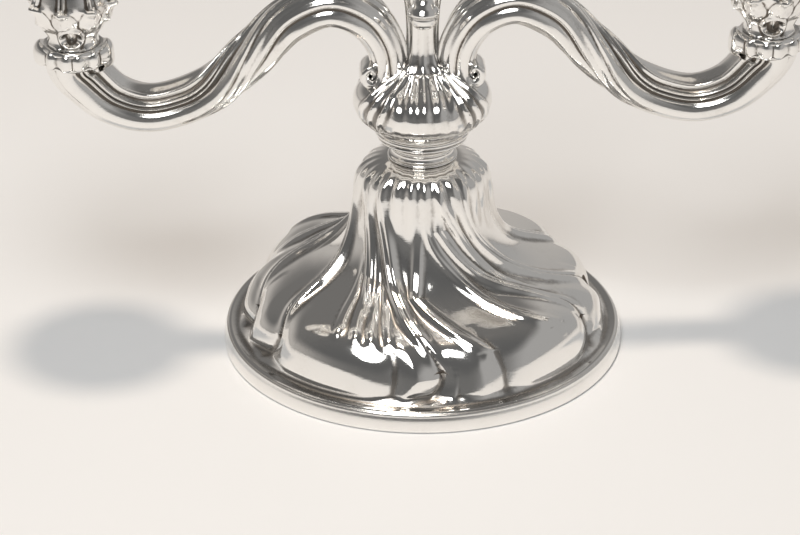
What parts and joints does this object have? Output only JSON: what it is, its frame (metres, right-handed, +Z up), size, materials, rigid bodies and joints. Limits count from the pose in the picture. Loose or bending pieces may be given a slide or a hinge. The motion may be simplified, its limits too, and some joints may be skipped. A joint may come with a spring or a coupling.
{
  "type": "tabletop candelabra",
  "caption": "Low silver table candelabra: swirl-fluted weighted foot, lobed knop, scrolling ridged arms, drip pans, candle cups and lift-out nozzles.",
  "frame": {"origin": "centre of the foot's underside, on the table", "axes": "+Z up through the middle candle, X along the two arms, -Y towards the viewer"},
  "size_m": [0.3184, 0.1502, 0.2355],
  "materials": {
    "silver": "polished silver with grey tarnish in the recesses",
    "border_silver": "polished silver, softly worn and finely scratched",
    "nozzle_silver": "polished silver",
    "socket_brass": "turned, unpolished",
    "steel": "plain turned steel",
    "pitch": "cast pitch and plaster, dull",
    "board": "sawn board",
    "felt": "felt"
  },
  "bodies": {
    "base": {"base_shell": "silver", "foot_border": "border_silver", "foot_filling": "pitch", "base_board": "board", "base_felt": "felt", "neck_moulding": "silver", "socket_tube": "socket_brass", "base_bolt": "steel", "base_washer": "steel", "base_nut": "steel"},
    "branch_plug": {"branch_plug": "socket_brass"},
    "branch": {"collar_ring": "silver", "knop": "silver", "column": "silver", "front_boss": "silver", "rear_boss": "silver", "left_arm": "silver", "right_arm": "silver", "left_tip_collar": "silver", "right_tip_collar": "silver", "left_pan_neck": "silver", "right_pan_neck": "silver", "centre_pan_neck": "silver", "upper_stem": "silver", "left_drip_pan": "silver", "right_drip_pan": "silver", "centre_drip_pan": "silver", "left_candle_cup": "silver", "right_candle_cup": "silver", "centre_candle_cup": "silver", "left_stud": "steel", "right_stud": "steel", "tie_rod": "steel", "left_nut": "steel", "right_nut": "steel", "centre_nut": "steel"},
    "left_nozzle": {"left_nozzle": "nozzle_silver"},
    "centre_nozzle": {"centre_nozzle": "nozzle_silver"},
    "right_nozzle": {"right_nozzle": "nozzle_silver"}
  },
  "joints": [
    {"name": "branch_lift", "type": "slide", "parent": "base", "child": "branch_plug", "axis": [0, 0, 1], "range_m": [0, 0.04]},
    {"name": "branch_turn", "type": "hinge", "parent": "branch_plug", "child": "branch", "pos_m": [0, 0, 0.083], "axis": [0, 0, 1], "continuous": true},
    {"name": "left_nozzle_lift", "type": "slide", "parent": "branch", "child": "left_nozzle", "axis": [0, 0, 1], "range_m": [0, 0.03]},
    {"name": "centre_nozzle_lift", "type": "slide", "parent": "branch", "child": "centre_nozzle", "axis": [0, 0, 1], "range_m": [0, 0.03]},
    {"name": "right_nozzle_lift", "type": "slide", "parent": "branch", "child": "right_nozzle", "axis": [0, 0, 1], "range_m": [0, 0.03]}
  ]
}
